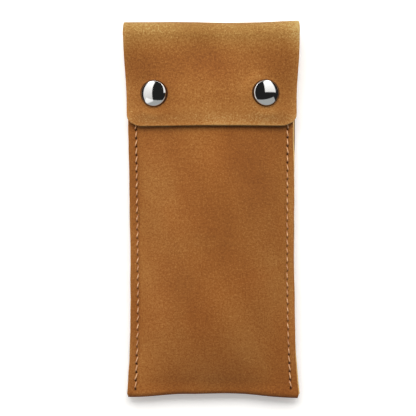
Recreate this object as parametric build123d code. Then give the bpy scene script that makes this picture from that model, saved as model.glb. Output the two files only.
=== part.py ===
"""Soft leather glasses pouch, lying on its back: one folded and stitched strip of leather whose
free end is a flap, held shut by two spring snaps.

Frame, in millimetres: +Z up from the table, +Y towards the top fold, +X to the right of somebody
who looks at the front. The origin is the middle of the outline, on the table.
"""
import math
import os

from build123d import *

# ---- driving dimensions -------------------------------------------------------------------
LENGTH = 176.0             # bottom fold to top fold, closed
LEATHER = 1.8              # thickness of the hide
WAIST_HALF = 38.3          # half width of the body at its narrowest, where it bulges most
SEAM_INSET = 3.5           # stitch line to cut edge
FLANGE = 4.6               # width of the flat, pressed margin along each side
SEAM_HEIGHT = 6.6          # height of the glue plane between front and back, at mid length
SEAM_DROOP = 1.5           # how far that plane sinks towards the ends
FRONT_BULGE = 8.4
BACK_BULGE = 6.2
FLAP_REACH = 49.5          # top fold to the flap's free edge
FLAP_HALF = 39.2           # half width of the flap at its free edge
FLAP_CORNER = 6.0
FLAP_GAP = 0.9             # air under the flap's free edge
MOUTH_SETBACK = 13.5       # top fold to the mouth's edge on the front
STITCH_PITCH = 3.9
STITCH_COUNT = 39
THREAD = 0.66              # thread diameter
SNAP_X = 24.3              # half the distance between the snaps
SNAP_SHIFT = -0.8          # both are set a little left of the middle
SNAP_SETBACK = 34.1        # top fold to the snap centres
SNAP_TILT = 16.5           # degrees; the snaps lean outwards with the bulging leather
FOLD_STRIPS = 3            # rigid strips that stand for the bending fold
STRIP_GAP = 0.3            # degrees left free at each end of a strip

BOTTOM = -LENGTH / 2
TOP = LENGTH / 2
MOUTH = TOP - MOUTH_SETBACK
SNAP_Y = TOP - SNAP_SETBACK
FLAP_END = TOP - FLAP_REACH

# Top fold: a half round about one straight line across the pouch
FOLD_UNDER = 1.8           # height of the leather's outer face where the fold starts
FOLD_INSIDE = 4.95         # inner radius
FOLD_OUTSIDE = FOLD_INSIDE + LEATHER
FOLD_Y = TOP - FOLD_OUTSIDE
FOLD_Z = FOLD_UNDER + FOLD_OUTSIDE
FOLD_HALF = 40.8           # half width of the strip at the fold

PROFILE_POINTS = 17        # points across each lofted profile
CUT = 60.0                 # bigger than any local height, for cutting tools


def clamp(value):
    return max(0.0, min(1.0, value))


def smooth(value):
    t = clamp(value)
    return t * t * (3 - 2 * t)


# ---- shape of the stitched body ---------------------------------------------------------------
def body_half(y):
    """Half width of the body: pulled in at the waist, full at the two folds."""
    below = max(0.0, -35.0 - y) / 52.5
    above = max(0.0, y + 35.0) / 122.5
    stitched = WAIST_HALF + 1.75 * below**2 + 1.2 * above**1.5
    return stitched + (FOLD_HALF - stitched) * smooth((y - 56.0) / (FOLD_Y - 58.0))


def seam_z(y):
    return SEAM_HEIGHT - SEAM_DROOP * (y / 80.0) ** 2


def hill(x, y):
    """1 along the middle of the body, 0 on the stitched margins."""
    u = x / (body_half(y) - FLANGE)
    return max(0.0, 1 - u * u) ** 1.3


def swell_from_bottom(y):
    """0 at the bottom fold, where the bulge starts level, to 1 where it is full."""
    t = clamp((y - BOTTOM - 4.0) / 43.0)
    return 1 - (1 - clamp(1.08 * t * t / (t + 0.08))) ** 2.4


def front_swell(y):
    return swell_from_bottom(y) - 0.38 * clamp((y - 5.0) / 69.5) ** 2


def back_swell(y):
    return swell_from_bottom(y) - 0.65 * clamp((y - 5.0) / 69.5) ** 2


def front_inner(x, y):
    return seam_z(y) + FRONT_BULGE * front_swell(y) * hill(x, y)


def back_inner(x, y):
    """Inside face of the back. Above the mouth it flattens to meet the straight fold."""
    stitched = seam_z(y) - BACK_BULGE * back_swell(y) * hill(x, y)
    flat = smooth((y - 66.0) / (FOLD_Y - 66.0))
    return stitched + (FOLD_UNDER + LEATHER - stitched) * flat


# ---- shape of the flap ------------------------------------------------------------------------
def flap_half(y):
    return FLAP_HALF + (FOLD_HALF - FLAP_HALF) * smooth((y - 50.0) / 31.0)


def flap_inner(x, y):
    """Inside face of the closed flap: level at the fold, arched over the bulge, drooping at its free end."""
    start = FOLD_Z + FOLD_INSIDE
    crown = start + 4.2 * smooth((FOLD_Y - y) / 34.0)
    side = start - 4.4 * smooth((FOLD_Y - y) / 30.0)
    u = x / flap_half(y)
    arched = side + (crown - side) * max(0.0, 1 - u * u) ** 1.1
    lying = front_inner(x, y) + LEATHER + FLAP_GAP
    return arched + (lying - arched) * 0.8 * smooth((FLAP_END + 8.0 - y) / 8.0)


# ---- lofting ----------------------------------------------------------------------------------
def profile(y, half, low, high):
    """Closed wire across the pouch at y, between two height functions of x."""
    xs = [half * (2 * i / (PROFILE_POINTS - 1) - 1) for i in range(PROFILE_POINTS)]
    under = [Vector(x, y, low(x)) for x in xs]
    over = [Vector(x, y, high(x)) for x in reversed(xs)]
    return Wire([
        Edge.make_spline(under),
        Edge.make_line(under[-1], over[0]),
        Edge.make_spline(over),
        Edge.make_line(over[-1], under[0]),
    ])


def loft_between(stations, half, low, high):
    """Solid lofted along Y between two height functions of (x, y)."""
    wires = []
    for y in stations:
        wires.append(profile(y, half(y), lambda x: low(x, y), lambda x: high(x, y)))
    return Solid.make_loft(wires)


def spaced(start, end, count):
    return [start + (end - start) * i / (count - 1) for i in range(count)]


def block(low, high):
    size = [b - a for a, b in zip(low, high)]
    return Pos(*low) * Box(*size, align=(Align.MIN, Align.MIN, Align.MIN))


# ---- leather ----------------------------------------------------------------------------------
def nose(y):
    """Half thickness of the folded leather near the rounded bottom edge."""
    depth = max(0.0, BOTTOM + LEATHER - y) / LEATHER
    return LEATHER * math.sqrt(max(0.0, 1 - depth * depth))


def make_body():
    """Front, bottom fold and back, with the pocket between them open at the mouth."""
    round_end = [BOTTOM + LEATHER * (1 - math.cos(math.radians(a))) for a in (12, 35, 60, 90)]
    rest = spaced(BOTTOM + 6.0, MOUTH, 12)
    outer = loft_between(
        round_end + rest + [FOLD_Y],
        body_half,
        lambda x, y: back_inner(x, y) - nose(y),
        lambda x, y: front_inner(x, y) + nose(y),
    )
    pocket = loft_between(
        spaced(BOTTOM + LEATHER + 0.9, MOUTH, 12) + [FOLD_Y + 3.0],
        lambda y: body_half(y) - FLANGE + 0.4,
        lambda x, y: back_inner(x, y) - 0.05,
        lambda x, y: front_inner(x, y) + 0.05,
    )
    above_back = loft_between(
        [MOUTH, (MOUTH + FOLD_Y) / 2, FOLD_Y + 0.5],
        lambda y: body_half(y) + 2.0,
        back_inner,
        lambda x, y: CUT,
    )
    pocket -= block((-CUT, BOTTOM, -CUT), (CUT, TOP, LEATHER))
    table = block((-CUT, BOTTOM - 1, -CUT), (CUT, TOP, 0))
    body = outer - pocket - above_back - table
    for side in (-1, 1):
        seats = [
            disc(4.55, 0.0, 2.0),
            disc(4.35, -LEATHER - 2.0, -LEATHER),
            disc(1.3, -LEATHER - 2.0, 2.0),
        ]
        for seat in seats:
            body -= snap_place(side) * seat
    return body


def make_flap():
    flap = loft_between(
        spaced(FOLD_Y, FLAP_END + 9.0, 6) + spaced(FLAP_END + 6.0, FLAP_END, 3),
        flap_half,
        flap_inner,
        lambda x, y: flap_inner(x, y) + LEATHER,
    )
    outline = block((-CUT, FLAP_END, -CUT), (CUT, FOLD_Y, CUT))
    half = flap_half(FLAP_END)
    blank = block((-half, FLAP_END, -CUT), (half, FLAP_END + 2 * FLAP_CORNER, CUT))
    corners = blank.edges().filter_by(Axis.Z).group_by(Axis.Y)[0]
    rounded = fillet(corners, FLAP_CORNER)
    outline -= block((-CUT, FLAP_END, -CUT), (CUT, FLAP_END + FLAP_CORNER, CUT)) - rounded
    flap &= outline
    for side in (-1, 1):
        seats = [
            disc(5.15, SOCKET_TOP - 3.0, SOCKET_TOP),
            disc(6.15, CAP_SEAT, CAP_SEAT + 3.0),
            disc(1.8, SOCKET_TOP - 3.0, CAP_SEAT + 3.0),
        ]
        for seat in seats:
            flap -= snap_place(side) * seat
    return flap


def make_fold_strip(index):
    """One strip of the top fold, between two planes through the fold's centre line."""
    step = 180.0 / FOLD_STRIPS
    start = math.radians(step * index + STRIP_GAP)
    end = math.radians(step * (index + 1) - STRIP_GAP)
    middle = (start + end) / 2

    def at(radius, angle):
        return (0, FOLD_Y + radius * math.sin(angle), FOLD_Z - radius * math.cos(angle))

    outline = Wire([
        Edge.make_three_point_arc(*(at(FOLD_OUTSIDE, a) for a in (start, middle, end))),
        Edge.make_line(at(FOLD_OUTSIDE, end), at(FOLD_INSIDE, end)),
        Edge.make_three_point_arc(*(at(FOLD_INSIDE, a) for a in (end, middle, start))),
        Edge.make_line(at(FOLD_INSIDE, start), at(FOLD_OUTSIDE, start)),
    ])
    return Pos(-FOLD_HALF, 0, 0) * extrude(Face(outline), 2 * FOLD_HALF, dir=(1, 0, 0))


# ---- snap fasteners, in their own frame: +Z along the axis, 0 on the front leather's face -----
STUD_BASE = 0.45
SOCKET_FOOT = STUD_BASE + 0.10
SOCKET_TOP = 3.4           # the flap's inside face at the snap
CAP_SEAT = SOCKET_TOP + LEATHER
CAP_RADIUS = 6.0
CAP_RISE = 2.9
SHEET = 0.4                # metal thickness
SPRING_WIRE = 0.6


def snap_place(side):
    """Moves a snap's own frame onto the body, left for -1 and right for 1."""
    x = side * SNAP_X + SNAP_SHIFT
    return Pos(x, SNAP_Y, front_inner(x, SNAP_Y) + LEATHER) * Rot(0, side * SNAP_TILT, 0)


def disc(radius, low, high):
    return Pos(0, 0, low) * Cylinder(radius, high - low, align=(Align.CENTER, Align.CENTER, Align.MIN))


def turned(points):
    """Solid of revolution about Z from (radius, height) points in order."""
    face = make_face(Polyline([(r, 0, z) for r, z in points], close=True))
    return revolve(face, Axis.Z)


def dome(radius, low, rise, flat):
    """Domed blank with a short upright rim of height flat."""
    ball = (radius**2 + (rise - flat) ** 2) / (2 * (rise - flat))
    cap = Pos(0, 0, low + rise - ball) * Sphere(ball)
    return disc(radius, low, low + rise) & cap


def make_cap_shell():
    shell = dome(CAP_RADIUS, CAP_SEAT, CAP_RISE, 0.8)
    shell = fillet(shell.edges().group_by(Axis.Z)[0], 0.3)
    hollow = dome(CAP_RADIUS - SHEET, CAP_SEAT + 0.45, CAP_RISE - 0.45 - SHEET, 0.5)
    return shell - hollow - disc(CAP_RADIUS - 0.7, CAP_SEAT - 0.1, CAP_SEAT + 1.0)


def make_cap_post():
    return turned([
        (1.35, CAP_SEAT + 0.4), (5.2, CAP_SEAT + 0.4), (5.2, CAP_SEAT), (1.7, CAP_SEAT),
        (1.7, SOCKET_TOP - 0.45), (2.5, SOCKET_TOP - 0.5), (2.5, SOCKET_TOP - 0.7), (1.35, SOCKET_TOP - 0.6),
    ])


def make_socket():
    ring = disc(5.0, SOCKET_FOOT, SOCKET_TOP)
    ring = fillet(ring.edges().group_by(Axis.Z)[0], 0.6)
    ring -= disc(2.85, SOCKET_FOOT - 1, SOCKET_TOP - 0.45)
    ring -= disc(4.05, 1.0, 1.9)
    return ring - disc(1.8, SOCKET_FOOT, SOCKET_TOP + 1)


def make_spring():
    """Hairpin of round wire: two bars that grip the stud's neck, joined round one side."""
    gap = 2.06
    path = FilletPolyline(
        (-gap, 2.9, 1.42), (-gap, -2.6, 1.42), (-0.9, -3.45, 1.42),
        (0.9, -3.45, 1.42), (gap, -2.6, 1.42), (gap, 2.9, 1.42),
        radius=0.5,
    )
    return sweep(Plane(path @ 0, z_dir=path % 0) * Circle(SPRING_WIRE / 2), path)


def make_stud():
    return turned([
        (1.3, 0), (4.2, 0), (4.4, 0.2), (4.2, STUD_BASE), (2.15, STUD_BASE), (2.15, 0.75), (1.75, 1.0),
        (1.75, 1.75), (2.0, 1.82), (2.15, 2.0), (2.0, 2.25), (1.75, 2.35), (1.3, 2.35),
    ])


def make_stud_post():
    return turned([
        (0.9, -LEATHER - 0.5), (4.0, -LEATHER - 0.5), (4.2, -LEATHER - 0.25), (4.2, -LEATHER), (1.2, -LEATHER),
        (1.2, 2.35), (1.6, 2.35), (1.6, 2.5), (0.9, 2.5),
    ])


# ---- stitching --------------------------------------------------------------------------------
def make_stitch(up):
    """One stitch: a bar lying on the leather and two legs down to the lock at mid thickness."""
    reach = (STITCH_PITCH - THREAD - 0.12) / 2
    lift = up * (LEATHER + 0.06)
    lock = up * 0.36
    path = FilletPolyline(
        (0, -reach, lock), (0, -reach, lift), (0, reach, lift), (0, reach, lock), radius=0.45
    )
    return sweep(Plane(path @ 0, z_dir=path % 0) * Circle(THREAD / 2), path)


def make_thread(side, up):
    """All the stitches that one thread shows, on the front for up 1 and on the back for up -1."""
    stitch = make_stitch(up)
    solids = []
    for i in range(STITCH_COUNT):
        y = BOTTOM + 4.5 + STITCH_PITCH * (i + 0.5)
        x = side * (body_half(y) - SEAM_INSET)
        slope = math.degrees(math.atan2(seam_z(y + 1) - seam_z(y - 1), 2))
        swing = math.degrees(math.atan2(body_half(y + 1) - body_half(y - 1), 2))
        solids.append(Pos(x, y, seam_z(y)) * Rot(slope, 0, -side * swing) * stitch)
    return Compound(solids)


# ---- write the files --------------------------------------------------------------------------
def main():
    os.makedirs("parts", exist_ok=True)
    nodes = {"pouch_strip": make_body(), "flap": make_flap()}
    for index, name in enumerate(("lower", "middle", "upper")):
        nodes[f"fold_strip_{name}"] = make_fold_strip(index)
    snap_pieces = {
        "cap_shell": make_cap_shell(), "cap_post": make_cap_post(), "socket": make_socket(),
        "socket_spring": make_spring(), "stud": make_stud(), "stud_post": make_stud_post(),
    }
    for side, label in ((-1, "left"), (1, "right")):
        for piece, shape in snap_pieces.items():
            nodes[f"{label}_{piece}"] = snap_place(side) * shape
        nodes[f"{label}_seam_top_thread"] = make_thread(side, 1)
        nodes[f"{label}_seam_bobbin_thread"] = make_thread(side, -1)
    for name, shape in nodes.items():
        export_step(shape, f"parts/{name}.step")


main()
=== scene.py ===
"""Looks of the soft leather glasses pouch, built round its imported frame.

Shapes are worked out in millimetres and turned into metres as each mesh is made.
"""

import math

import bpy
import numpy as np
from mathutils import Matrix, Vector


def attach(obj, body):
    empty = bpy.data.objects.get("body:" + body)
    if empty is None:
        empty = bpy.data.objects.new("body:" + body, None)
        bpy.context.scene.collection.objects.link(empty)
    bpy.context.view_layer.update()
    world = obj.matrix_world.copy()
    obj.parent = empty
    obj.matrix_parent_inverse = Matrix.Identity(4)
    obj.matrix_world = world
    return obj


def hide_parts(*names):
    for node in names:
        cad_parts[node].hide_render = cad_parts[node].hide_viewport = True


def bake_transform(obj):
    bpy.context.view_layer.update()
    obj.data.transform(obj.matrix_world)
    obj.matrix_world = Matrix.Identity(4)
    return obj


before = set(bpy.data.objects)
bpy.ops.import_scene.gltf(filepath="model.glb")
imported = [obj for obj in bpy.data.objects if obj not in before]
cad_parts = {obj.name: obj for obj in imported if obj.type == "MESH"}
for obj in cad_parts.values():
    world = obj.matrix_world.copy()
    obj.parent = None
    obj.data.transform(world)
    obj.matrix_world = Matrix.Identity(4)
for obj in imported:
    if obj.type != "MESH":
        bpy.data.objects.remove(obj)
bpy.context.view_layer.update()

# ---- dimensions shared with the solid model ----------------------------------------------------
BOTTOM, TOP = -88.0, 88.0
LEATHER = 1.8
WAIST_HALF = 38.3
SEAM_INSET = 3.5
FLANGE = 4.6
SEAM_HEIGHT, SEAM_DROOP = 6.6, 1.5
FRONT_BULGE, BACK_BULGE = 8.4, 6.2
FRONT_FADE, BACK_FADE = 0.38, 0.65      # how much flatter the pouch is towards its mouth
MOUTH = TOP - 13.5
FLAP_END = TOP - 49.5
FLAP_HALF = 39.2
STITCH_PITCH, STITCH_COUNT = 3.9, 39
FIRST_HOLE = BOTTOM + 4.5
SNAP_X, SNAP_SHIFT, SNAP_Y, SNAP_TILT = 24.3, -0.8, TOP - 34.1, math.radians(16.5)
FOLD_UNDER, FOLD_INSIDE = 1.8, 4.95
FOLD_OUTSIDE = FOLD_INSIDE + LEATHER
FOLD_Y, FOLD_Z = TOP - FOLD_OUTSIDE, FOLD_UNDER + FOLD_OUTSIDE
FOLD_HALF = 40.8
CAP_SEAT, SOCKET_TOP, SOCKET_FOOT, STUD_BASE = 5.2, 3.4, 0.55, 0.45   # heights over the stud's seat

# ---- finer shape, for the looks only -------------------------------------------------------------
FLAP_GAP = 0.6             # air under the flap's free edge
CORNER_X, CORNER_Y = 7.8, 5.3           # the flap's corners are flatter than a circle
TURN_RADIUS = 0.35         # inside the bottom fold
ARRIS = 0.5                # rounding of the grain side along a cut edge
EDGE_LEVELS = 4            # points across a cut edge
EDGE_BULGE = 0.09          # how far a cut edge stands out in its middle
PANEL_ROWS = 500           # rows of the grid along the front, and again along the back
TURN_STEPS, FOLD_STEPS = 14, 72         # steps round the bottom fold and round the top fold
PLIES, PLY_OFFSET, PLY_RADIUS, PLY_SIDES, PLY_LAY = 3, 0.13, 0.165, 7, 2.1
MAP_HALF = 39.0            # half width of the strip on its flat map
MAP_UNIT = 100.0           # millimetres of hide in one unit of the map
GRAIN, CUT_EDGE, FLESH = 0, 1, 2        # material slots of the strip
SOFT_RIM = 0.04            # part of a light's width over which its edge fades


def smooth(value):
    """Eases from 0 to 1 as the value runs from 0 to 1."""
    t = np.clip(value, 0, 1)
    return t * t * (3 - 2 * t)


def mound(value, centre, width):
    """1 where the value is at the centre, falling to 0 on both sides."""
    return np.exp(-(((value - centre) / width) ** 2))


def unit(vectors):
    return vectors / np.linalg.norm(vectors, axis=-1, keepdims=True)


# ---- stitched body ---------------------------------------------------------------------------
def body_half(y):
    """Half width of the body: pulled in at the waist, full at the two folds."""
    below = np.maximum(0.0, -35.0 - y) / 52.5
    above = np.maximum(0.0, y + 35.0) / 122.5
    stitched = WAIST_HALF + 1.75 * below**2 + 1.2 * above**1.5
    return stitched + (FOLD_HALF - stitched) * smooth((y - 56.0) / (FOLD_Y - 58.0))


def bottom_y(u):
    """Bottom fold: drawn up in the middle by the bulge, a little lower at the right corner."""
    left = 1.45 * smooth((-0.32 - u) / 0.62)
    right = 2.40 * smooth((u - 0.08) / 1.0) ** 1.1
    return BOTTOM + 1.95 - left - right


def top_shift(u):
    """Top fold: level but for a small sag, and rising at the right corner."""
    left, right = 0.30 * smooth((0.15 - u) / 0.6), 0.66 * smooth((u - 0.5) / 0.55)
    return left + right - 0.66 - 0.25 * mound(u, 0.22, 0.28)


def seam_z(y):
    """Height of the glued seam between front and back."""
    return SEAM_HEIGHT - SEAM_DROOP * (y / 80.0) ** 2


def hill(x, y):
    """1 along the middle of the body, 0 on the stitched margins."""
    u = x / (body_half(y) - FLANGE)
    return np.clip(1 - u * u, 0, None) ** 1.3


def swell(y, fade):
    """0 at the bottom fold to 1 where the bulge is full, less the fade towards the mouth."""
    t = np.clip((y - BOTTOM - 4.0) / 43.0, 0, 1)
    t = 1.08 * t * t / (t + 0.08)
    return 1 - np.clip(1 - t, 0, 1) ** 2.4 - fade * np.clip((y - 5.0) / 69.5, 0, 1) ** 2


def ripple(x, y):
    """Soft hollows and swellings of hide over a pair of glasses."""
    return (
        0.24 * np.sin(0.105 * x + 0.041 * y + 0.7)
        + 0.17 * np.sin(0.19 * x - 0.068 * y + 2.1)
        + 0.12 * np.sin(0.052 * x + 0.135 * y + 0.4)
        + 0.06 * np.sin(0.31 * x + 0.21 * y + 4.0)
    )


def snap_origin(side):
    """Middle of the stud's seat on the front, and the snap's axis."""
    x = side * SNAP_X + SNAP_SHIFT
    z = seam_z(SNAP_Y) + FRONT_BULGE * swell(SNAP_Y, FRONT_FADE) * hill(x, SNAP_Y) + LEATHER
    return np.array([x, SNAP_Y, z]), np.array([side * math.sin(SNAP_TILT), 0.0, math.cos(SNAP_TILT)])


def seated(z, x, y, height, inner, outer):
    """Flattens a height field to each snap's seat: level with it within inner, free past outer."""
    for side in (-1, 1):
        origin, axis = snap_origin(side)
        p = origin + height * axis
        r = np.hypot(x - p[0], y - p[1])
        plane = p[2] - axis[0] / axis[2] * (x - p[0])
        z = z + (plane - z) * (1 - smooth((r - inner) / (outer - inner)))
    return z


def front_inner(x, y):
    """Inside face of the front, level under each stud."""
    z = seam_z(y) + (FRONT_BULGE * swell(y, FRONT_FADE) + ripple(x, y)) * hill(x, y)
    return seated(z, x, y, -LEATHER, 5.0, 9.5)


def back_inner(x, y):
    """Inside face of the back, pressed flat on the table. Above the mouth it meets the straight fold."""
    stitched = seam_z(y) - (BACK_BULGE * swell(y, BACK_FADE) + 0.5 * ripple(-x, y + 30)) * hill(x, y)
    flat = smooth((y - 66.0) / (FOLD_Y - 66.0))
    z = stitched + (FOLD_UNDER + LEATHER - stitched) * flat
    over, ease = z - LEATHER, 0.4          # the ease leaves no crease round the flat
    return LEATHER + 0.5 * (over + np.sqrt(over**2 + ease**2))


# ---- flap ----------------------------------------------------------------------------------------
def flap_half(y):
    return FLAP_HALF + (FOLD_HALF - FLAP_HALF) * smooth((y - 50.0) / 31.0)


def flap_inner(x, y):
    """Inside face of the closed flap: arched over the bulge, level on each socket, drooping at its end."""
    start = FOLD_Z + FOLD_INSIDE
    crown = start + 4.2 * smooth((FOLD_Y - y) / 34.0)
    side = start - 4.4 * smooth((FOLD_Y - y) / 30.0)
    u = x / flap_half(y)
    z = side + (crown - side) * np.clip(1 - u * u, 0, None) ** 1.1
    z = z + 0.55 * ripple(x + 9, y - 20) * smooth((FOLD_Y - y) / 12.0)
    lying = front_inner(x, y) + LEATHER + FLAP_GAP
    z = z + (lying - z) * 0.8 * smooth((FLAP_END + 8.0 - y) / 8.0)
    z = seated(z, x, y, SOCKET_TOP, 6.4, 11.5)
    for side in (-1, 1):
        origin, axis = snap_origin(side)
        p = origin + SOCKET_TOP * axis
        z = z - 0.16 * mound(np.hypot(x - p[0], y - p[1]), 7.6, 1.6)      # dip round the cap
    return z


def sloped(height, x, y, up):
    """Unit normals of a height function, upwards or downwards."""
    e = 0.05
    dx = (height(x + e, y) - height(x - e, y)) / (2 * e)
    dy = (height(x, y + e) - height(x, y - e)) / (2 * e)
    return unit(np.stack([-dx * up, -dy * up, np.full_like(dx, up)], -1))


# ---- the strip, as one grid from the mouth's edge round to the flap's free edge --------------------
def columns():
    """Positions across the strip from -1 to 1: close together at the edges and the seams."""
    near = [0, 0.07, 0.16, 0.28, 0.42, 0.6, 0.9, 1.4, 2.0, 2.5]
    near += list(np.arange(2.8, 4.4, 0.2)) + [4.6, 5.1, 5.7]
    inner = list(np.linspace(6.4, FLAP_HALF, 43))
    half = 1 - np.array(near + inner) / FLAP_HALF
    return np.concatenate([-half[:-1], half[::-1]])


def openness(y):
    """Where the needle holes gape and get deeper painted shade, and the stitches a stronger painted
    highlight: under the flap and by the bottom fold.
    """
    return smooth((y - 6) / 24) + smooth((-62 - y) / 10)


def seam_hollows(x, y):
    """Depth of the needle holes and of the channel that the thread pulls, and a mask of the holes for their
    painted shade.
    """
    i = np.clip(np.round((y - FIRST_HOLE) / STITCH_PITCH), 0, STITCH_COUNT)
    hole_y = FIRST_HOLE + STITCH_PITCH * i
    off = np.abs(x) - (body_half(hole_y) - SEAM_INSET)
    gape = openness(hole_y)
    hole = np.exp(-((off / 0.38) ** 2) - ((y - hole_y) / (0.42 + 0.22 * gape)) ** 2)
    hole = hole * (0.45 + 0.55 * gape)
    channel = mound(np.abs(x), body_half(y) - SEAM_INSET, 1.0) * smooth((y - FIRST_HOLE + 1.5) / 1.5)
    return 0.60 * hole + 0.24 * channel, np.clip(1.5 * hole, 0, 1)


def drop(s, radius):
    """How far the surface falls at a distance s from a cut edge rounded to that radius."""
    d = np.clip(radius - s, 0, radius)
    return radius - np.sqrt(np.maximum(0, radius**2 - d**2))


def edge_waver(y, phase):
    """Hand-cut edges are never quite straight."""
    return 0.10 * np.sin(0.11 * y + phase) + 0.06 * np.sin(0.31 * y + 2 * phase)


def side_waver(u, y):
    """The right side is pulled in a little more than the left, most of all at the waist."""
    left = 0.28 * mound(y, 39, 9) + 0.30 * smooth((-68 - y) / 10)
    right = 0.18 * smooth((-79 - y) / 6) - 0.28 * mound(y, -8, 26) - 0.24 * mound(y, -68, 16)
    return np.where(u > 0, right, left)


def turn_line(u):
    """Where the inside of the bottom fold starts to turn."""
    return bottom_y(u) + LEATHER + TURN_RADIUS


def opening(y, turn):
    """How far each face parts from the other on its way into the bottom fold."""
    return TURN_RADIUS * (1 - smooth((y - turn) / 5.0))


def front_part(u):
    """Rows from the mouth's edge down the front to the bottom fold."""
    t = np.linspace(0, 1, PANEL_ROWS)[:, None]
    turn = turn_line(u)
    y = MOUTH + (turn - MOUTH) * t
    back_shows = 0.75 * smooth((y - 2.0) / 32.0) * (u > 0)
    half = body_half(y) + edge_waver(y, 0.4 * np.sign(u)) + side_waver(u, y) - 0.08 - back_shows
    x = u * half
    z = front_inner(x, y) + opening(y, turn)
    n = sloped(front_inner, x, y, 1.0)
    depth, hole = seam_hollows(x, y)
    edge = np.minimum((1 - np.abs(u)) * half, MOUTH - y)
    return dict(x=x, y=y, z=z, n=n, depth=depth, hole=hole, edge=edge)


def turn_part(u):
    """Rows round the bottom fold."""
    angle = np.radians(np.linspace(0, 180, TURN_STEPS + 1)[1:-1])[:, None]
    turn = turn_line(u)
    half = body_half(turn) + side_waver(u, turn) - 0.35 * np.sin(angle)
    x = u * half
    y0 = turn + 0 * x
    top, low = front_inner(x, y0) + TURN_RADIUS, back_inner(x, y0) - TURN_RADIUS
    r = (top - low) / 2
    step = np.gradient(bottom_y(u), u)[None, :] / half
    n = unit(np.stack([step * np.sin(angle), -np.sin(angle) + 0 * x, np.cos(angle) + 0 * x], -1))
    y, z = y0 - r * np.sin(angle), (top + low) / 2 + r * np.cos(angle)
    return dict(x=x, y=y, z=z, n=n, depth=0 * x, hole=0 * x, edge=(1 - np.abs(u)) * half)


def back_part(u):
    """Rows from the bottom fold up the back to the top fold."""
    t = np.linspace(0, 1, PANEL_ROWS)[:, None]
    turn = turn_line(u)
    y = turn + (FOLD_Y - turn) * t
    half = body_half(y) + edge_waver(y, 1.9 + 0.4 * np.sign(u)) + side_waver(u, y)
    x = u * half
    z = back_inner(x, y) - opening(y, turn)
    n = sloped(back_inner, x, y, -1.0)
    depth, hole = seam_hollows(x, y)
    sewn = 1 - smooth((y - MOUTH + 1.0) / 2.0)
    y = y + top_shift(u) * smooth((y - 58.0) / 22.0)
    return dict(x=x, y=y, z=z, n=n, depth=depth * sewn, hole=hole * sewn, edge=(1 - np.abs(u)) * half)


def fold_part(u):
    """Rows round the top fold."""
    angle = np.radians(np.linspace(0, 180, FOLD_STEPS + 1)[1:-1])[:, None]
    half = FOLD_HALF + edge_waver(FOLD_Y + 12 * angle, 1.9 + 0.4 * np.sign(u))
    x = u * half
    n = np.stack([0 * x, np.sin(angle) + 0 * x, -np.cos(angle) + 0 * x], -1)
    y = FOLD_Y + FOLD_INSIDE * np.sin(angle) + top_shift(u)
    z = FOLD_Z - FOLD_INSIDE * np.cos(angle) + 0 * x
    return dict(x=x, y=y + 0 * x, z=z, n=n, depth=0 * x, hole=0 * x, edge=(1 - np.abs(u)) * half)


def flap_part(u):
    """Rows from the top fold to the flap's free edge, closest together at that edge."""
    last_rows = [1.3, 0.9, 0.6, 0.42, 0.28, 0.16, 0.07, 0]
    from_end = np.array(list(np.linspace(FOLD_Y - FLAP_END, 1.8, 96)) + last_rows)[:, None]
    y = FLAP_END + from_end + 0 * u
    half = flap_half(y) + edge_waver(FOLD_Y + 38 - y, 1.9 + 0.4 * np.sign(u)) * smooth((from_end - 6) / 8)
    x = u * half
    edge = np.minimum((1 - np.abs(u)) * half, from_end)
    # square corner to round corner, ring by ring
    a = (np.abs(x) - (half - CORNER_X)) / CORNER_X
    b = (CORNER_Y - from_end) / CORNER_Y + 0 * a
    inside = (a > 0) & (b > 0)
    squeeze = np.where(inside, np.maximum(a, b) / np.hypot(np.maximum(a, 1e-9), np.maximum(b, 1e-9)), 1.0)
    x = np.where(inside, np.sign(x) * (half - CORNER_X + CORNER_X * a * squeeze), x)
    y = np.where(inside, FLAP_END + CORNER_Y - CORNER_Y * b * squeeze, y)
    z = flap_inner(x, y)
    n = sloped(flap_inner, x, y, 1.0)
    shift = top_shift(u) * (1 - smooth((FOLD_Y - y) / 22.0))
    waver = 0.44 + 0.06 * np.sin(0.16 * x + 0.5) - 0.20 * mound(x, 7, 9)
    waver = waver * smooth((FLAP_END + 9 - y) / 9)
    return dict(x=x, y=y + shift + waver, z=z, n=n, depth=0 * x, hole=0 * x, edge=edge)


def build_strip():
    """Grain side, flesh side, cut edges and painted masks of the whole strip."""
    u = columns()
    parts = [f(u) for f in (front_part, turn_part, back_part, fold_part, flap_part)]
    counts = [len(part["x"]) for part in parts]
    whole = {key: np.concatenate([part[key] for part in parts]) for key in parts[0]}
    n, edge, hole = whole["n"], whole["edge"], whole["hole"]
    flesh = np.stack([whole["x"], whole["y"], whole["z"]], -1)
    grain = flesh + n * (LEATHER - drop(edge, ARRIS) - whole["depth"])[..., None]
    flesh = flesh + n * (drop(edge, 0.2) + 0.015)[..., None]
    # the free edge is cut aslant and a little ragged; the front's right edge flares where it shows
    x = u * MAP_HALF
    flesh[-1, :, 1] -= 0.45 * smooth((MAP_HALF - np.abs(x)) / CORNER_X)
    flesh[-1, :, 1] -= 0.06 * np.sin(2.1 * x) + 0.05 * np.sin(5.3 * x)
    rows = counts[0]
    y = flesh[:rows, -1, 1]
    flesh[:rows, -1, 0] += 0.55 * (smooth((y - 6) / 22) + smooth((-60 - y) / 12))
    measured = len(u) // 2 + 12          # a column clear of the snaps
    step = np.linalg.norm(np.diff(grain[:, measured], axis=0), axis=-1)
    arc = np.concatenate([[0], np.cumsum(step)])
    return dict(u=u, grain=grain, flesh=flesh, arc=arc, hole=hole, edge=edge, counts=counts)


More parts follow.
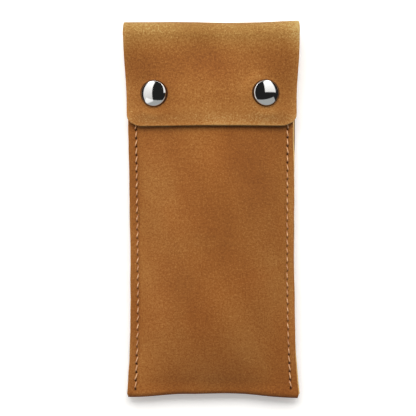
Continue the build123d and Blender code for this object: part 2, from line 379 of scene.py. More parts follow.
def painted_tone(strip):
    """Light and dark of the hide, painted shade and highlights among them, and its nap: rubbed and pale is 1,
    waxed and red is 0 or less.

    x runs across the strip and s along it, both in millimetres of hide, s from the mouth's edge.
    """
    arc, edge = strip["arc"], strip["edge"]
    starts = np.cumsum([0] + strip["counts"])
    x = strip["u"][None, :] * MAP_HALF
    s = arc[:, None] + 0 * x
    end, flap_from = arc[-1], arc[starts[4]]
    fold_mid = arc[(starts[3] + starts[4]) // 2]
    turn_at = arc[(starts[1] + starts[2]) // 2]
    on_flap = smooth((s - flap_from + 20) / 10)
    on_front = 1 - smooth((s - turn_at) / 9)
    # The top fold is painted paler, in tone and in nap: partly the hide paling where it bends, partly a
    # painted highlight where the fold faces the light.
    fold_pale_and_lit = mound(s, fold_mid + 4, 11)
    right = x > 0

    tone = 0.10 * on_flap + 0.19 * fold_pale_and_lit - 0.16 * on_flap * mound(s, flap_from + 12, 8.5)
    tone += 0.17 * smooth((s - end + 13) / 10) * on_flap + 0.075 * mound(s, end - 4.3, 2.2)
    # Painted light: paler along the flap's right side, where the light falls on it.
    tone += 0.07 * smooth((x - 32) / 5) * on_flap
    tone += (0.16 * on_flap + 0.09 * right) * np.exp(-edge / 1.7)
    tone += np.where(right, 0.08, -0.04) * mound(np.abs(x), 36.4, 2.4) * (1 - on_flap)
    # Painted sheen: paler on the left of the body, where the left light glances off it.
    tone += 0.06 * mound(x, -28, 9) * (1 - on_flap) + 0.03 * mound(s, 75, 28)
    tone += 0.12 * mound(x, -34, 16) * smooth((s - turn_at + 45) / 30) * on_front
    tone += 0.10 * smooth((s - 60) / 80) * on_front
    # Painted shade: darker round the bottom fold, which turns away from the light, and darkest in a line
    # along its underside.
    tone -= 0.12 * mound(s, turn_at, 11) + 0.30 * mound(s, turn_at, 1.6)
    tone += 0.05 * np.sin(0.09 * x + 0.05 * s) + 0.04 * np.sin(0.21 * x - 0.11 * s + 1.0)

    waxed_bottom = smooth((s - turn_at + 70) / 40) * (1 - smooth((s - turn_at) / 25))
    waxed_end = smooth((s - end + 11) / 7)
    return tone, on_flap * (1 - 2.0 * waxed_end) - 0.8 * waxed_bottom + fold_pale_and_lit


def snap_marks_and_shadows(strip):
    """Centre and radius, on the strip's map, of the dark ring round each snap cap and each stud: partly
    pressed into the hide by the metal, partly painted contact shadow at the metal's foot.
    """
    starts = np.cumsum([0] + strip["counts"])
    marks_and_shadows = []
    for side in (-1, 1):
        origin, axis = snap_origin(side)
        for height, first, last, radius in ((CAP_SEAT, starts[4], None, 6.5), (0.0, 0, starts[1], 4.9)):
            p = origin + height * axis
            near = np.linalg.norm(strip["grain"][first:last] - p, axis=-1)
            row, col = np.unravel_index(np.argmin(near), near.shape)
            step = p - strip["grain"][first:last][row, col]
            across, along = strip["u"][col] * MAP_HALF + step[0], strip["arc"][first + row] - step[1]
            marks_and_shadows.append(((across / MAP_UNIT, along / MAP_UNIT), radius / MAP_UNIT))
    return marks_and_shadows


# ---- meshes ----------------------------------------------------------------------------------
def make_mesh(name, verts, faces, material_of=None, materials=(), sharp=None):
    """Object from points in millimetres; sharp marks the faces that are shaded flat."""
    mesh = bpy.data.meshes.new(name)
    mesh.from_pydata((np.asarray(verts, float) / 1000).tolist(), [], faces)
    for m in materials:
        mesh.materials.append(m)
    if material_of is not None:
        mesh.polygons.foreach_set("material_index", np.asarray(material_of, np.int32))
    flat = np.zeros(len(faces), bool) if sharp is None else np.asarray(sharp, bool)
    mesh.polygons.foreach_set("use_smooth", ~flat)
    mesh.update()
    obj = bpy.data.objects.new(name, mesh)
    bpy.context.scene.collection.objects.link(obj)
    return obj


def point_attribute(obj, name, values):
    data = obj.data.attributes.new(name, "FLOAT", "POINT")
    data.data.foreach_set("value", np.asarray(values, np.float32).ravel())


def uv_from_points(obj, name, per_point):
    layer = obj.data.uv_layers.new(name=name)
    index = np.zeros(len(obj.data.loops), np.int32)
    obj.data.loops.foreach_get("vertex_index", index)
    layer.data.foreach_set("uv", np.asarray(per_point, np.float32)[index].ravel())


def cut_levels():
    """Fractions of the way through the hide, and how far a cut edge stands out at each of them."""
    levels = (np.arange(EDGE_LEVELS) + 1) / (EDGE_LEVELS + 1)
    return list(zip(levels, EDGE_BULGE * np.sin(np.pi * levels)))


def strip_rings(strip):
    """Each row of the strip as a closed ring of points: grain side, right edge, flesh side, left edge."""
    grain, flesh = strip["grain"], strip["flesh"]
    fuzz = 0.02 * np.sin(7.0 * strip["arc"])[:, None]
    edges = []
    for column, inner in ((-1, -8), (0, 7)):
        outward = unit(grain[:, column] - grain[:, inner])
        edges.append([
            grain[:, column] * (1 - t) + flesh[:, column] * t + outward * (bulge + fuzz)
            for t, bulge in cut_levels()
        ])
    right, left = edges
    return np.concatenate([grain, np.stack(right, 1), flesh[:, ::-1], np.stack(left[::-1], 1)], axis=1)


def end_wall(ring, cols, row, inwards):
    """Extra points between grain and flesh that round the cut end at a row; inwards leads into the strip."""
    outward = unit((ring[row, :cols] - ring[row + inwards, :cols])[1:-1])
    grain = ring[row, :cols]
    flesh = ring[row, cols + EDGE_LEVELS : 2 * cols + EDGE_LEVELS][::-1]
    return np.array([grain[1:-1] * (1 - t) + flesh[1:-1] * t + outward * bulge for t, bulge in cut_levels()])


def strip_piece(strip, tone, nub, first, last, name, materials):
    """The rows first to last of the strip as a closed mesh; its normals are those of the whole strip."""
    ring, cols = strip_rings(strip), strip["grain"].shape[1]
    rows, size = ring.shape[:2]
    verts = ring[first : last + 1].reshape(-1, 3)
    count = len(verts)
    faces, kinds, flats = [], [], []

    def add(face, kind, flat=False):
        faces.append(tuple(face))
        kinds.append(kind)
        flats.append(flat)

    kind_of = np.full(size, CUT_EDGE)
    kind_of[: cols - 1] = GRAIN
    kind_of[cols + EDGE_LEVELS : 2 * cols + EDGE_LEVELS - 1] = FLESH
    for a in range(0, (last - first) * size, size):
        for i in range(size):
            k = (i + 1) % size
            add((a + i, a + size + i, a + size + k, a + k), kind_of[i])

    extra = []
    for row, at_start in ((first, True), (last, False)):
        base = 0 if at_start else (last - first) * size
        turned = 1 if at_start else -1

        def at(level, i):
            """Point i of a level at this end: level 0 is the grain side, the last level the flesh side."""
            if level == 0:
                return base + i
            if level == EDGE_LEVELS + 1:
                return base + 2 * cols + EDGE_LEVELS - 1 - i
            if i == 0:
                return base + size - level
            if i == cols - 1:
                return base + cols - 1 + level
            return count + (level - 1) * (cols - 2) + i - 1

        if row in (0, rows - 1):
            extra = end_wall(ring, cols, row, 3 * turned).reshape(-1, 3)
            for level in range(EDGE_LEVELS + 1):
                for i in range(cols - 1):
                    quad = (at(level, i), at(level, i + 1), at(level + 1, i + 1), at(level + 1, i))
                    add(quad[::turned], CUT_EDGE)
        else:
            through = EDGE_LEVELS + 1
            for i in range(cols - 1):
                quad = (at(0, i), at(0, i + 1), at(through, i + 1), at(through, i))
                add(quad[::turned], FLESH, flat=True)
            right = [at(level, cols - 1) for level in range(through + 1)]
            left = [at(level, 0) for level in reversed(range(through + 1))]
            add(right[::turned], FLESH, flat=True)
            add(left[::turned], FLESH, flat=True)
    if len(extra):
        verts = np.concatenate([verts, extra])
    obj = make_mesh(name, verts, faces, kinds, materials, flats)

    def spread(grid, tail=0.0):
        """Values of the grid's points given to the points of the mesh; the extra points get the tail."""
        g = grid[first : last + 1]
        right, left = (np.repeat(column, EDGE_LEVELS, 1) for column in (g[:, -1:], g[:, :1]))
        full = np.concatenate([g, right, g[:, ::-1], left], axis=1)
        return np.concatenate([full.reshape(-1), np.full(len(extra), tail)])

    point_attribute(obj, "tone", spread(tone))
    point_attribute(obj, "nub", spread(nub))
    point_attribute(obj, "rim", spread(0.9 * np.exp(-strip["edge"] / 0.8)))
    # The flap's free cut end takes 0.9 of this mask: painted dark between grain and flesh, partly a burnished
    # edge, partly painted shade of the gap under the flap.
    point_attribute(obj, "hole", spread(strip["hole"], 0.9 if last == rows - 1 else 0.0))
    along = strip["arc"][:, None] + 0 * tone
    across = strip["u"][None, :] * MAP_HALF + 0 * tone
    uv = np.stack([spread(across), spread(along)], -1)
    if len(extra):
        level = 0.35 * np.repeat(np.arange(EDGE_LEVELS), cols - 2)
        uv[count:] = np.stack([extra[:, 0], strip["arc"][first if first == 0 else last] + level], -1)
    uv_from_points(obj, "Strip", uv / MAP_UNIT)
    share_normals(obj, ring, first, last, count)
    return obj


def share_normals(obj, ring, first, last, count):
    """Gives the rows at a cut the normals of the uncut strip, so that no join shows."""
    rows, size = ring.shape[:2]
    along = np.gradient(ring, axis=0)
    around = np.roll(ring, -1, axis=1) - np.roll(ring, 1, axis=1)
    n = np.cross(around, along)
    n /= np.maximum(np.linalg.norm(n, axis=-1, keepdims=True), 1e-12)
    mesh = obj.data
    own = np.zeros(len(mesh.vertices) * 3, np.float32)
    mesh.vertex_normals.foreach_get("vector", own)
    own = own.reshape(-1, 3)
    n *= 1.0 if np.sum(own[:count] * n[first : last + 1].reshape(-1, 3)) > 0 else -1.0
    if first > 0:
        own[:size] = n[first]
    if last < rows - 1:
        own[count - size : count] = n[last]
    mesh.normals_split_custom_set_from_vertices(own.tolist())


def lathe(name, profile, material, place, segments=96):
    """Turned piece: a closed outline of (radius, height, rounding) about Z."""
    outline = rounded(profile)
    angles = np.linspace(0, 2 * np.pi, segments, endpoint=False)
    verts, index = [], []
    for r, z in outline:
        if r < 1e-6:
            index.append([len(verts)] * segments)
            verts.append((0, 0, z))
        else:
            index.append(list(range(len(verts), len(verts) + segments)))
            verts += [(r * math.cos(a), r * math.sin(a), z) for a in angles]
    faces = []
    for i in range(len(outline)):
        a, b = index[i], index[(i + 1) % len(outline)]
        for k in range(segments):
            m = (k + 1) % segments
            quad = [a[k], a[m], b[m], b[k]]
            quad = [q for j, q in enumerate(quad) if q != quad[j - 1]]
            if len(set(quad)) > 2:
                faces.append(tuple(quad))
    return placed(make_mesh(name, verts, faces, materials=[material]), place)


def rounded(profile, steps=6):
    """Outline as (radius, height), with its corners rounded to arcs."""
    out = []
    n = len(profile)
    for i, (r, z, radius) in enumerate(profile):
        here = np.array([r, z])
        before, after = np.array(profile[i - 1][:2]) - here, np.array(profile[(i + 1) % n][:2]) - here
        la, lb = np.linalg.norm(before), np.linalg.norm(after)
        if radius <= 0 or la < 1e-9 or lb < 1e-9:
            out.append((r, z))
            continue
        before, after = before / la, after / lb
        turn = math.acos(max(-1.0, min(1.0, float(before @ after))))
        if turn > math.pi - 0.02:
            out.append((r, z))
            continue
        reach = min(radius / math.tan(turn / 2), 0.48 * la, 0.48 * lb)
        radius = reach * math.tan(turn / 2)
        centre = here + (before + after) / np.linalg.norm(before + after) * radius / math.sin(turn / 2)
        p, q = here + before * reach - centre, here + after * reach - centre
        a, b = math.atan2(p[1], p[0]), math.atan2(q[1], q[0])
        sweep = (b - a + math.pi) % (2 * math.pi) - math.pi
        for k in range(steps + 1):
            t = a + sweep * k / steps
            out.append((centre[0] + radius * math.cos(t), centre[1] + radius * math.sin(t)))
    return out


def placed(obj, place):
    """Moves a mesh by a 4 by 4 matrix whose shift is in millimetres."""
    obj.data.transform(Matrix([[*row[:3], row[3] / 1000] for row in place]))
    obj.data.update()
    return obj


def snap_place(side):
    """Matrix that stands a snap's pieces on the front, with the snap's own axis up."""
    origin, _ = snap_origin(side)
    c, s = math.cos(SNAP_TILT), math.sin(SNAP_TILT) * side
    return [[c, 0, s, origin[0]], [0, 1, 0, origin[1]], [-s, 0, c, origin[2]], [0, 0, 0, 1]]


def tube(path, radius, sides, side_axis):
    """Points and faces of a round tube along a path whose plane is square to side_axis, with flat ends."""
    path = np.asarray(path, float)
    t = unit(np.gradient(path, axis=0))
    b = np.broadcast_to(np.asarray(side_axis, float), t.shape)
    n = unit(np.cross(b, t))
    a = np.linspace(0, 2 * np.pi, sides, endpoint=False)
    verts = path[:, None] + radius * (
        np.cos(a)[None, :, None] * n[:, None] + np.sin(a)[None, :, None] * b[:, None]
    )
    faces = []
    for j in range(len(path) - 1):
        for i in range(sides):
            k = (i + 1) % sides
            faces.append((j * sides + i, (j + 1) * sides + i, (j + 1) * sides + k, j * sides + k))
    last = (len(path) - 1) * sides
    faces.append(tuple(range(sides)))
    faces.append(tuple(last + i for i in reversed(range(sides))))
    return verts.reshape(-1, 3), faces


# ---- stitching -------------------------------------------------------------------------------
def stitch(side, up, i):
    """Centre line of one stitch between two needle holes, and its painted highlight: full on the raised
    middle, none at the ends in the holes.
    """
    ys = FIRST_HOLE + STITCH_PITCH * np.array([i, i + 1.0])
    holes = np.stack([side * (body_half(ys) - SEAM_INSET), ys, seam_z(ys) + up * LEATHER], -1)
    along = unit(holes[1] - holes[0])
    middle = holes.mean(axis=0)
    reach = np.linalg.norm(holes[1] - holes[0]) / 2 - 0.46
    angle = np.radians(np.linspace(180, 0, 23))
    q = reach * np.sign(np.cos(angle)) * np.abs(np.cos(angle)) ** 0.6
    sunk, high = 0.95, 0.14 + 0.05 * math.sin(1.9 * i)
    height = -sunk + (sunk + high) * np.abs(np.sin(angle)) ** 0.75
    lean = -(0.33 - 0.07 * side) - 0.12 * math.sin(2.7 * i + side)
    across = np.array([side * lean, 0, 0])
    lift = np.array([0, 0, float(up)])
    points = middle + q[:, None] * along + height[:, None] * lift + (q / reach)[:, None] * across
    # Painted highlight: the stitch is painted lighter on its raised middle and darker towards the holes, more
    # so where the seam is open.
    proud_highlight = np.sin(angle) ** (5.0 - 3.8 * openness(middle[1]))
    return points, np.cross(along, lift), proud_highlight


def make_thread(name, side, up, material):
    """All stitches of one seam, each of plies that wind round its centre line."""
    verts, faces, uvs, wear_and_highlight = [], [], [], []
    for i in range(STITCH_COUNT):
        line, sideways, proud_highlight = stitch(side, up, i)
        length = np.concatenate([[0], np.cumsum(np.linalg.norm(np.diff(line, axis=0), axis=1))])
        t = unit(np.gradient(line, axis=0))
        n = unit(np.cross(np.broadcast_to(sideways, t.shape), t))
        b = np.cross(t, n)
        for ply in range(PLIES):
            turn = 2 * np.pi * (length / PLY_LAY + ply / PLIES) + 0.8 * i
            path = line + PLY_OFFSET * (np.cos(turn)[:, None] * n + np.sin(turn)[:, None] * b)
            points, sides = tube(path, PLY_RADIUS, PLY_SIDES, unit(sideways))
            base = sum(len(v) for v in verts)
            faces += [tuple(base + k for k in face) for face in sides]
            verts.append(points)
            around = np.tile(np.arange(PLY_SIDES) / PLY_SIDES, len(path))
            uvs.append(np.stack([around, np.repeat(length + 4.5 * i, PLY_SIDES) / 4], -1))
            wear_and_highlight.append(np.repeat(proud_highlight, PLY_SIDES))
    obj = make_mesh(name, np.concatenate(verts), faces, materials=[material])
    uv_from_points(obj, "Along", np.concatenate(uvs))
    point_attribute(obj, "proud_highlight", np.concatenate(wear_and_highlight))
    return obj


# ---- materials ---------------------------------------------------------------------------------
class Paint:
    """Builds one material's nodes; a socket as a value makes a link."""

    def __init__(self, name):
        self.material = bpy.data.materials.new(name)
        self.material.use_nodes = True
        self.tree = self.material.node_tree
        self.surface = self.tree.nodes["Principled BSDF"]

    def put(self, node, values):
        for key, value in values.items():
            socket = node.inputs[key]
            if isinstance(value, bpy.types.NodeSocket):
                self.tree.links.new(value, socket)
            else:
                socket.default_value = value

    def node(self, kind, values=None, **settings):
        node = self.tree.nodes.new(kind)
        for key, value in settings.items():
            setattr(node, key, value)
        self.put(node, values or {})
        return node

    def math(self, operation, a, b=0.0, c=0.0):
        return self.node("ShaderNodeMath", {0: a, 1: b, 2: c}, operation=operation).outputs[0]

    def add_scaled(self, value, noise, strength):
        """The value plus a noise that is centred on 0 and scaled."""
        return self.math("MULTIPLY_ADD", self.math("SUBTRACT", noise, 0.5), strength, value)

    def noise(self, where, scale, detail=3.0, roughness=0.55, distortion=0.0):
        values = {"Vector": where, "Scale": scale, "Detail": detail, "Roughness": roughness}
        return self.node("ShaderNodeTexNoise", {**values, "Distortion": distortion}).outputs["Fac"]

    def stretched(self, where, x, y):
        return self.node("ShaderNodeMapping", {"Vector": where, "Scale": (x, y, 1.0)}).outputs[0]

    def ramp(self, fac, stops):
        node = self.node("ShaderNodeValToRGB", {"Fac": fac})
        ramp = node.color_ramp
        while len(ramp.elements) < len(stops):
            ramp.elements.new(0.5)
        for element, (position, colour) in zip(ramp.elements, stops):
            element.position = position
            element.color = (*colour, 1.0)
        return node.outputs["Color"]

    def mix(self, fac, a, b, blend="MIX"):
        node = self.node("ShaderNodeMix", data_type="RGBA", blend_type=blend)
        colours = [socket for socket in node.inputs if socket.type == "RGBA"]
        self.put(node, {"Factor": fac})
        for socket, value in zip(colours, (a, b)):
            if isinstance(value, bpy.types.NodeSocket):
                self.tree.links.new(value, socket)
            else:
                socket.default_value = (*value, 1)
        return next(o for o in node.outputs if o.type == "RGBA")

    def uv(self, name):
        return self.node("ShaderNodeUVMap", uv_map=name).outputs[0]

    def attribute(self, name):
        return self.node("ShaderNodeAttribute", attribute_name=name).outputs["Fac"]

    def bump(self, height, distance, strength=1.0, normal=None):
        values = {"Height": height, "Distance": distance, "Strength": strength}
        if normal is not None:
            values["Normal"] = normal
        return self.node("ShaderNodeBump", values).outputs[0]

    def fixed(self, **values):
        """Sets the shader's own sockets; an underscore in a key stands for a space."""
        self.put(self.surface, {key.replace("_", " "): value for key, value in values.items()})

    def finish(self, **values):
        self.fixed(**values)
        return self.material


def srgb(*channels):
    """Linear colour from red, green and blue between 0 and 255."""
    shares = [c / 255 for c in channels]
    return tuple(c / 12.92 if c <= 0.04045 else ((c + 0.055) / 1.055) ** 2.4 for c in shares)


def paint_grain(marks_and_shadows):
    """Waxed nubuck: a fine nap and soft clouds over the painted tone, with painted shade in the needle holes
    and dark rings round the snaps, partly pressed in and partly painted contact shadow.
    """
    p = Paint("leather grain")
    where = p.uv("Strip")
    clouds = p.noise(where, 4.2, 3.0, 0.5, 0.6)
    drawn = p.noise(p.stretched(where, 2.2, 0.55), 6.0, 3.0, 0.55, 0.4)
    patches = p.noise(where, 19.0, 4.0, 0.62, 0.5)
    speckle = p.noise(where, 92.0, 3.0, 0.65)
    fine = p.noise(where, 170.0, 2.0, 0.6)
    nub = p.attribute("nub")
    rubbed = p.math("MINIMUM", p.math("MAXIMUM", nub, 0.0), 1.0)
    strength = p.math("MULTIPLY_ADD", rubbed, 0.16, 0.76)
    value = p.math("ADD", p.attribute("tone"), 0.46)
    value = p.add_scaled(value, clouds, 0.14)
    value = p.add_scaled(value, drawn, 0.10)
    value = p.add_scaled(value, patches, 0.19)
    value = p.add_scaled(value, speckle, strength)
    value = p.add_scaled(value, fine, p.math("MULTIPLY", strength, 1.1))
    colour = p.ramp(value, [
        (0.0, srgb(96, 51, 19)), (0.30, srgb(126, 74, 30)), (0.50, srgb(140, 86, 36)),
        (0.70, srgb(154, 103, 50)), (0.85, srgb(169, 120, 64)), (1.0, srgb(184, 146, 90)),
    ])
    ruddy = p.math("MULTIPLY_ADD", p.noise(where, 2.6, 3.0, 0.55, 0.5), 3.8, -1.5)
    ruddy = p.math("MULTIPLY_ADD", nub, -0.6, ruddy)
    colour = p.mix(ruddy, colour, (1.0, 0.915, 0.85), "MULTIPLY")
    # olive cast where the nap runs highest, on the top fold: the colour of its paled hide and of its painted
    # highlight
    olive = p.math("MAXIMUM", p.math("SUBTRACT", nub, 0.95), 0.0)
    colour = p.mix(olive, colour, (0.84, 0.98, 0.99), "MULTIPLY")
    # Painted shade in the needle holes, and round each snap a dark ring: partly pressed into the hide, partly
    # painted contact shadow.
    dark = p.math("MULTIPLY", p.attribute("hole"), 0.95)
    for centre, radius in marks_and_shadows:
        points = {0: where, 1: (*centre, 0.0)}
        off = p.node("ShaderNodeVectorMath", points, operation="DISTANCE").outputs["Value"]
        fade = {0: off, 1: radius - 0.005, 2: radius, 3: 0.9, 4: 0.0}
        mark_and_shadow = p.node("ShaderNodeMapRange", fade, interpolation_type="SMOOTHSTEP").outputs[0]
        dark = p.math("MAXIMUM", dark, mark_and_shadow)
    colour = p.mix(dark, colour, srgb(38, 16, 8))
    pores = p.node("ShaderNodeTexVoronoi", {"Vector": where, "Scale": 120.0}).outputs["Distance"]
    bump = p.bump(p.noise(where, 150.0, 4.0, 0.7), 0.00012, 0.55)
    bump = p.bump(pores, 0.00006, 0.5, bump)
    bump = p.bump(patches, 0.0002, 0.35, bump)
    p.fixed(Sheen_Weight=0.05, Sheen_Roughness=0.5, Sheen_Tint=(*srgb(240, 205, 160), 1))
    p.fixed(Specular_IOR_Level=0.28, IOR=1.38)
    rough = p.math("MULTIPLY_ADD", speckle, 0.16, 0.60)
    return p.finish(Base_Color=colour, Roughness=rough, Normal=bump)


def paint_cut_edge():
    p = Paint("leather cut edge")
    where = p.uv("Strip")
    fibres = p.noise(where, 300.0, 4.0, 0.7)
    blot = p.noise(where, 30.0, 2.0)
    value = p.math("MULTIPLY_ADD", fibres, 0.5, p.math("MULTIPLY", blot, 0.5))
    pale = [(0.2, srgb(168, 120, 66)), (0.5, srgb(208, 166, 104)), (0.8, srgb(238, 206, 146))]
    # Through the hole mask the flap's free cut end is dark: partly a burnished edge, partly painted shade of
    # the gap under the flap.
    colour = p.mix(p.attribute("hole"), p.ramp(value, pale), srgb(40, 17, 8))
    p.fixed(Specular_IOR_Level=0.1)
    return p.finish(Base_Color=colour, Roughness=0.85, Normal=p.bump(fibres, 0.00012, 0.8))


def paint_flesh():
    p = Paint("leather flesh side")
    where = p.uv("Strip")
    nap = p.noise(p.stretched(where, 1.0, 0.45), 210.0, 5.0, 0.75, 0.4)
    clouds = p.noise(where, 9.0, 3.0)
    value = p.math("MULTIPLY_ADD", nap, 0.55, p.math("MULTIPLY", clouds, 0.45))
    raw = [(0.25, srgb(138, 90, 52)), (0.5, srgb(173, 122, 78)), (0.75, srgb(201, 154, 108))]
    colour = p.mix(p.attribute("rim"), p.ramp(value, raw), srgb(86, 58, 26))
    p.fixed(Sheen_Weight=0.25, Sheen_Roughness=0.6, IOR=1.35)
    return p.finish(Base_Color=colour, Roughness=0.92, Normal=p.bump(nap, 0.0002, 0.8))


def paint_thread():
    p = Paint("waxed thread")
    where = p.uv("Along")
    fibre = p.noise(p.stretched(where, 6.0, 1.4), 9.0, 3.0, 0.6)
    wear_and_highlight = p.noise(p.stretched(where, 0.4, 0.9), 1.0, 2.0)
    fibre = p.add_scaled(fibre, wear_and_highlight, 0.9)
    # Painted highlight: lighter on each stitch's raised middle, up to the pale glints at the ramp's top, and
    # darker at its ends in the holes.
    fibre = p.math("MULTIPLY_ADD", p.attribute("proud_highlight"), 0.55, p.math("ADD", fibre, -0.42))
    colour = p.ramp(fibre, [(0.1, srgb(122, 66, 32)), (0.4, srgb(176, 112, 64)), (0.8, srgb(246, 200, 150))])
    p.fixed(Sheen_Weight=0.2)
    return p.finish(Base_Color=colour, Roughness=0.45, Normal=p.bump(fibre, 0.00005, 0.5))


def paint_metal(name, colour, roughness, scale):
    p = Paint(name)
    where = p.node("ShaderNodeTexCoord").outputs["Object"]
    scuffs = p.noise(where, scale, 4.0, 0.6)
    rough = p.math("MULTIPLY_ADD", scuffs, roughness, roughness * 0.6)
    p.fixed(Metallic=1.0)
    return p.finish(Base_Color=(*colour, 1), Roughness=rough, Normal=p.bump(scuffs, 0.00002, 0.15))


# ---- build ---------------------------------------------------------------------------------------
def build_leather():
    """The one strip of hide, divided where the frame's fold strips meet."""
    strip = build_strip()
    tone, nub = painted_tone(strip)
    materials = [paint_grain(snap_marks_and_shadows(strip)), paint_cut_edge(), paint_flesh()]
    starts = np.cumsum([0] + strip["counts"])
    middle_y = strip["flesh"][starts[2] : starts[3], strip["flesh"].shape[1] // 2, 1]
    lead = int(starts[2] + np.argmin(np.abs(middle_y - (FOLD_Y - 3.6))))
    fold_rows = [int(starts[3] - 1 + round(angle * FOLD_STEPS / 180)) for angle in (30, 90, 150)]
    cuts = [0, lead, *fold_rows, len(strip["arc"]) - 1]
    names = ["body", "fold_first", "fold_second", "fold_third", "flap"]
    pieces = [
        strip_piece(strip, tone, nub, a, b, f"leather_{name}", materials)
        for a, b, name in zip(cuts[:-1], cuts[1:], names)
    ]

    nodes = ["fold_strip_lower", "fold_strip_middle", "fold_strip_upper", "flap"]
    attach(pieces[0], "pouch")
    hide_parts("pouch_strip")
    for i, (piece, node) in enumerate(zip(pieces[1:], nodes)):
        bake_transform(piece)
        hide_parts(node)


def build_threads():
    thread = paint_thread()
    for side, label in ((-1, "left"), (1, "right")):
        for up, kind in ((1, "top"), (-1, "bobbin")):
            obj = make_thread(f"{label}_{kind}_stitches", side, up, thread)
            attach(obj, "pouch")
            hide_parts(f"{label}_seam_{kind}_thread")


def cap_profile():
    """Domed sheet cap that curls down at its rim, outside first and then back along its inside."""
    ball, rise, flank, outer, inner, sheet = 10.6, 2.9, 5.6, 6.0, 5.5, 0.42
    start = math.asin(flank / ball)
    curl = (outer - flank) / (1 - math.sin(start))
    dome = []
    for r in np.linspace(0, flank, 25):
        dome.append((r, CAP_SEAT + rise - ball + math.sqrt(ball**2 - r * r), 0))
    inside = [(r, z - sheet, 0) for r, z, _ in reversed(dome[::3]) if r < inner - 0.4]
    shoulder = dome[-1][1]
    for lean in np.linspace(start, math.pi / 2, 15)[1:]:
        z = shoulder - curl * (math.cos(start) - math.cos(lean))
        dome.append((flank + curl * (math.sin(lean) - math.sin(start)), z, 0))
    rim = [(outer, CAP_SEAT - 0.02, 0.15), (inner, CAP_SEAT - 0.02, 0.1), (inner, CAP_SEAT + 0.6, 0.3)]
    return dome + rim + inside


def turned_profiles():
    """Outlines of the snaps' turned pieces about the snap's axis; height 0 is the stud's seat on the hide."""
    top, foot, base, inside = SOCKET_TOP, SOCKET_FOOT, STUD_BASE, -LEATHER
    return {
        "cap_shell": cap_profile(),
        "cap_post": [
            (1.35, CAP_SEAT + 0.4, 0.1), (5.2, CAP_SEAT + 0.4, 0.1), (5.2, CAP_SEAT, 0.1),
            (1.7, CAP_SEAT, 0.1), (1.7, top - 0.45, 0.1), (2.5, top - 0.5, 0.09),
            (2.5, top - 0.7, 0.09), (1.35, top - 0.62, 0.12),
        ],
        "socket": [
            (1.8, top, 0.05), (5.0, top, 0.2), (5.0, foot, 0.75), (3.6, foot, 0.3),
            (3.3, foot + 0.22, 0.3), (2.85, foot + 0.1, 0.12), (2.85, 1.0, 0.08), (4.05, 1.0, 0.08),
            (4.05, 1.9, 0.08), (2.85, 1.9, 0.08), (2.85, top - 0.45, 0.1), (1.8, top - 0.45, 0.05),
        ],
        "stud": [
            (1.3, 0.0, 0.05), (4.2, 0.0, 0.1), (4.4, 0.2, 0.15), (4.15, base, 0.2),
            (2.15, base, 0.25), (1.95, 0.8, 0.2), (1.75, 1.1, 0.2), (1.75, 1.65, 0.2),
            (2.15, 1.95, 0.25), (2.0, 2.3, 0.2), (1.75, 2.35, 0.1), (1.3, 2.35, 0.05),
        ],
        "stud_post": [
            (0.9, inside - 0.5, 0.15), (4.0, inside - 0.5, 0.2), (4.2, inside - 0.25, 0.1),
            (4.2, inside, 0.1), (1.2, inside, 0.1), (1.2, 2.35, 0.05), (1.6, 2.35, 0.06),
            (1.6, 2.5, 0.07), (0.9, 2.5, 0.15),
        ],
    }


def spring_line():
    """Hairpin wire: two straight legs, one on each side of the stud's neck, joined by a round bend."""
    leg, tip, bend_at, corner = 2.06, 2.9, -2.1, 1.35
    half = [(-leg, y) for y in (tip, 1.5, 0.0, -1.0)]
    for a in np.radians(np.linspace(0, 90, 8)):
        half.append((-leg + corner * (1 - math.cos(a)), bend_at - corner * math.sin(a)))
    return [(x, y, 1.42) for x, y in half + [(-x, y) for x, y in reversed(half)]]


def build_snaps():
    polished = paint_metal("polished nickel", (0.70, 0.70, 0.70), 0.07, 500.0)
    satin = paint_metal("satin nickel", (0.50, 0.49, 0.46), 0.24, 900.0)
    wire = paint_metal("spring wire", (0.62, 0.61, 0.59), 0.2, 900.0)
    for side, label in ((-1, "left"), (1, "right")):
        place = snap_place(side)
        for kind, profile in turned_profiles().items():
            is_cap = kind == "cap_shell"
            obj = lathe(f"{label}_{kind}_turned", profile, polished if is_cap else satin, place)
            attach(obj, "pouch" if kind.startswith("stud") else "flap")
            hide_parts(f"{label}_{kind}")
        verts, faces = tube(spring_line(), 0.29, 16, (0, 0, 1))
        obj = placed(make_mesh(f"{label}_hairpin_spring", verts, faces, materials=[wire]), place)
        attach(obj, "flap")
        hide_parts(f"{label}_socket_spring")


# ---- studio --------------------------------------------------------------------------------------
def soft_box(name, centre, towards, size, power, ends=(1.0, 1.0), colour=(1, 1, 1)):
    """Rectangular light with soft edges, whose brightness runs between two factors along its length."""
    light = bpy.data.lights.new(name, "AREA")
    light.shape = "RECTANGLE"
    light.size, light.size_y = size
    light.energy = power
    light.color = colour
    light.use_nodes = True
    tree = light.node_tree

    def node(kind, *values, **settings):
        new = tree.nodes.new(kind)
        for key, value in settings.items():
            setattr(new, key, value)
        for socket, value in zip(new.inputs, values):
            if isinstance(value, bpy.types.NodeSocket):
                tree.links.new(value, socket)
            else:
                socket.default_value = value
        return new

    place = node("ShaderNodeSeparateXYZ", node("ShaderNodeNewGeometry").outputs["Parametric"])
    glow = node("ShaderNodeMapRange", place.outputs[0], 0.0, 1.0, *ends).outputs[0]
    for axis in (0, 1):
        off = node("ShaderNodeMath", place.outputs[axis], 0.5, operation="SUBTRACT").outputs[0]
        off = node("ShaderNodeMath", off, operation="ABSOLUTE").outputs[0]
        fade = (off, 0.5, 0.5 - SOFT_RIM, 0.0, 1.0)
        rim = node("ShaderNodeMapRange", *fade, interpolation_type="SMOOTHSTEP").outputs[0]
        glow = node("ShaderNodeMath", glow, rim, operation="MULTIPLY").outputs[0]
    tree.links.new(glow, tree.nodes["Emission"].inputs["Strength"])
    obj = bpy.data.objects.new(name, light)
    bpy.context.scene.collection.objects.link(obj)
    obj.location = centre
    aim = Vector([t - c for t, c in zip(towards, centre)])
    obj.rotation_euler = aim.to_track_quat("-Z", "Y").to_euler()
    return obj


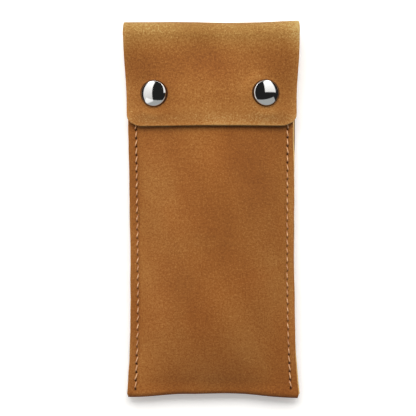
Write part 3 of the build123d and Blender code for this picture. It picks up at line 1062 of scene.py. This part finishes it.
def build_table():
    p = Paint("white table")
    p.fixed(Specular_IOR_Level=0.2, Emission_Color=(1, 1, 1, 1), Emission_Strength=0.222)
    white = p.finish(Base_Color=(0.94, 0.94, 0.93, 1), Roughness=0.9)
    reach, below = 1500.0, -0.02
    corners = [(x * reach, y * reach, below) for x, y in ((-1, -1), (1, -1), (1, 1), (-1, 1))]
    floor = make_mesh("table", corners, [(0, 1, 2, 3)], materials=[white])
    floor.visible_glossy = False


def build_lights():
    """Two softboxes, two cards that show only as reflections, and a key that lights without reflecting."""
    warm = (1.0, 0.985, 0.96)
    soft_box("left softbox", (-0.61, 0.42, 0.345), (0, 0.42, 0), (1.85, 0.66), 7.6, (1.0, 0.3), warm)
    soft_box("right softbox", (0.56, 0.75, 0.45), (0, 0.75, 0), (1.30, 0.83), 7.0, (0.5, 1.0), warm)
    card = soft_box("near card", (0.0, -0.78, 0.50), (0, 0, 0.02), (5.0, 1.0), 7.4, colour=(0.97, 1.0, 0.98))
    card.visible_diffuse = False
    card = soft_box("far card", (0.0, 1.40, 0.30), (0, 0, 0.02), (2.6, 0.34), 5.0, colour=warm)
    card.visible_diffuse = False
    key = soft_box("overhead key", (-0.04, 0.61, 0.795), (0, 0, 0), (0.9, 0.6), 10.15, colour=warm)
    key.visible_glossy = False


def build_world():
    """White surroundings that fill the shadows but hardly show as reflections."""
    world = bpy.data.worlds.new("studio")
    bpy.context.scene.world = world
    world.use_nodes = True
    tree = world.node_tree
    ground = tree.nodes["Background"]
    ground.inputs[0].default_value = (1, 1, 1, 1)
    path = tree.nodes.new("ShaderNodeLightPath")
    mix = tree.nodes.new("ShaderNodeMath")
    mix.operation = "MULTIPLY_ADD"
    fill, mirrored = 0.24, 0.02
    mix.inputs[1].default_value = mirrored - fill
    mix.inputs[2].default_value = fill
    tree.links.new(path.outputs["Is Glossy Ray"], mix.inputs[0])
    tree.links.new(mix.outputs[0], ground.inputs[1])


def build_camera():
    camera = bpy.data.cameras.new("camera")
    camera.lens = 128.4
    camera.sensor_width = 36.0
    camera.clip_end = 10.0
    obj = bpy.data.objects.new("camera", camera)
    bpy.context.scene.collection.objects.link(obj)
    obj.location = (-0.00196, 0.00089, 0.70)
    obj.rotation_euler = (0, 0, math.radians(-0.29))
    bpy.context.scene.camera = obj


build_leather()
build_threads()
build_snaps()
build_table()
build_lights()
build_world()
build_camera()
bpy.context.scene.view_settings.view_transform = "Standard"
